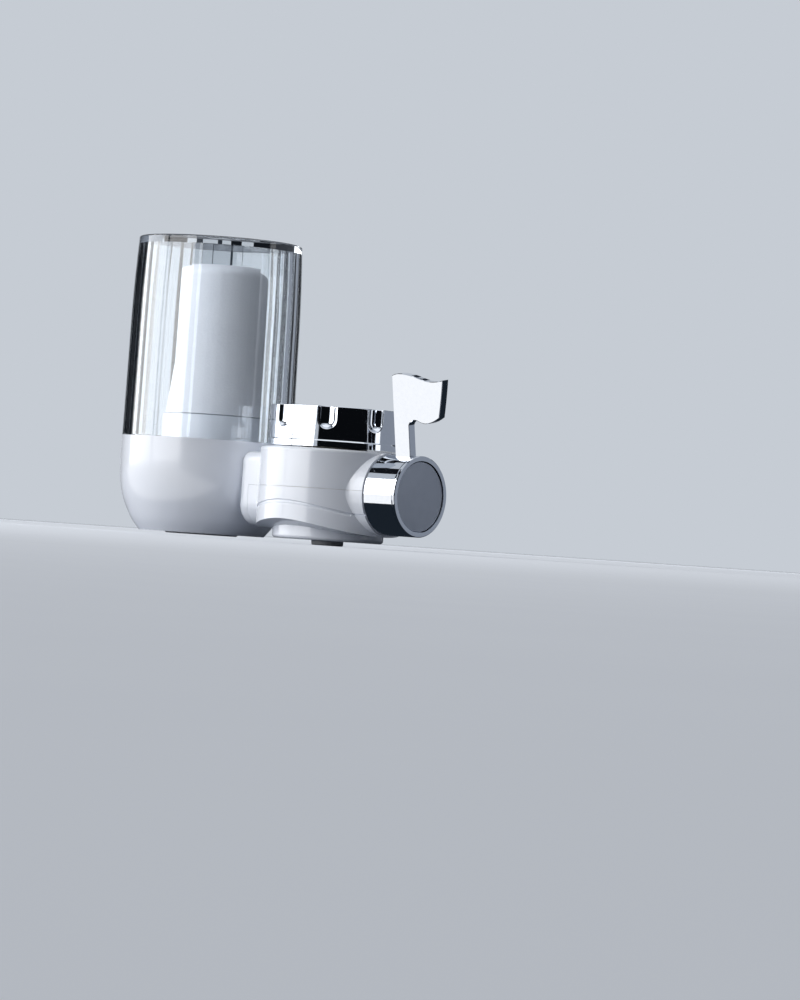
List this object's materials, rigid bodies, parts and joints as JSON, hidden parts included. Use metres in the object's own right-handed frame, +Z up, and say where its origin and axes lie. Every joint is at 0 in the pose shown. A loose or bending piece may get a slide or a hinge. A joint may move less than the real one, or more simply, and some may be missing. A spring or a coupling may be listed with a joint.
{
  "type": "faucet mount water filter",
  "caption": "Tap-mounted drinking water filter: a union nut inlet on a diverter valve with a flag lever, joined to a clear housing over a ceramic cartridge.",
  "frame": {"origin": "centre of the mouth of the threaded tap inlet, on top of the adapter inside the union nut", "axes": "+Z up along the inlet thread towards the tap, +X along the product towards the diverter knob, the filter housing on the -X side"},
  "size_m": [0.1769, 0.0748, 0.1289],
  "materials": {
    "white_plastic": "gloss white moulded ABS",
    "core_plastic": "plain white moulded POM",
    "cap_plastic": "satin white moulded ABS",
    "plate_plastic": "satin white moulded ABS",
    "chrome_nut": "bright chrome plate",
    "chrome_knob": "bright chrome plate",
    "adapter_brass": "nickel chrome plated brass",
    "steel": "plain stainless steel",
    "satin_disc": "satin grey plated disc",
    "spool_plastic": "plain moulded POM",
    "clear_plastic": "clear polished AS plastic",
    "ceramic": "matt fine-grained white ceramic",
    "rubber": "black moulded rubber"
  },
  "bodies": {
    "valve": {"valve_body_upper": "white_plastic", "valve_body_lower": "white_plastic", "valve_core": "core_plastic", "tap_adapter": "adapter_brass", "inlet_washer": "rubber", "adapter_seal": "rubber", "nut_retaining_ring": "steel", "outlet_ring": "white_plastic", "shower_plate": "plate_plastic", "stream_nozzle": "plate_plastic", "filter_base": "white_plastic", "neck_seal_rings": "rubber", "filter_spray_plate": "plate_plastic", "cover_gasket": "rubber", "ceramic_cartridge": "ceramic", "cartridge_cap": "cap_plastic", "cartridge_gasket": "rubber"},
    "diverter": {"knob_barrel": "chrome_knob", "knob_face_disc": "satin_disc", "lever": "chrome_knob", "knob_screw": "steel", "diverter_spool": "spool_plastic", "spool_seal_rings": "rubber"},
    "nut": {"union_nut": "chrome_nut"},
    "cover": {"clear_cover": "clear_plastic"}
  },
  "joints": [
    {"name": "diverter_turn", "type": "hinge", "parent": "valve", "child": "diverter", "pos_m": [0, 0, -0.034], "axis": [1, 0, 0], "range_deg": [-100, 80]},
    {"name": "nut_spin", "type": "hinge", "parent": "valve", "child": "nut", "pos_m": [0, 0, 0], "axis": [0, 0, 1], "continuous": true},
    {"name": "cover_lift", "type": "slide", "parent": "valve", "child": "cover", "axis": [0, 0, 1], "range_m": [0, 0.09]}
  ]
}
